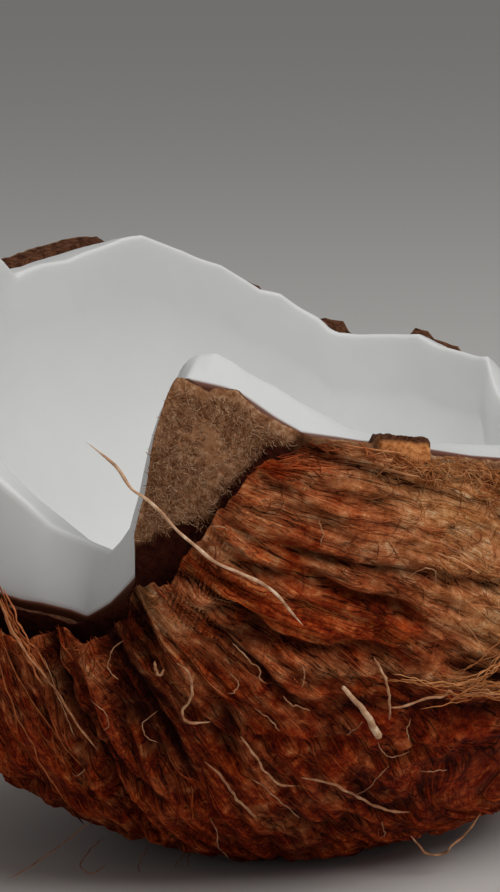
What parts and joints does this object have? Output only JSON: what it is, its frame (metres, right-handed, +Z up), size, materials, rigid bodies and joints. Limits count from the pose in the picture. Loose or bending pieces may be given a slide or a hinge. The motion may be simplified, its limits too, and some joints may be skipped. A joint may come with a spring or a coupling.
{
  "type": "coconut half",
  "caption": "Half of a mature brown coconut, broken open lengthwise: thick white flesh in a thin hard shell under a matted fibrous husk, resting hollow side up.",
  "frame": {"origin": "middle of the flat patch of husk that the half rests on, under the middle of the fruit", "axes": "+Z up out of the hollow, -Y towards the broken front edge, the rim slopes down towards +X, and the fruit's pole axis runs from front left to back right"},
  "size_m": [0.1151, 0.1192, 0.0693],
  "materials": {
    "flesh": "smooth waxy white, slightly translucent, moist sheen",
    "shell": "hard brown shell with short fuzz and dark specks",
    "husk": "matted reddish brown fibres with deep grooves",
    "fibre": "dry pale fibre, slightly shiny"
  },
  "bodies": {
    "root": {"flesh": "flesh", "shell": "shell", "husk_mat": "husk", "long_fibre": "fibre", "left_fibre": "fibre", "curly_fibre": "fibre", "slope_fibre": "fibre", "belly_fibre": "fibre", "fibre_stub": "fibre", "branch_fibre": "fibre", "drooping_fibre": "fibre", "low_fibre": "fibre", "hanging_fibre": "fibre"}
  },
  "joints": []
}
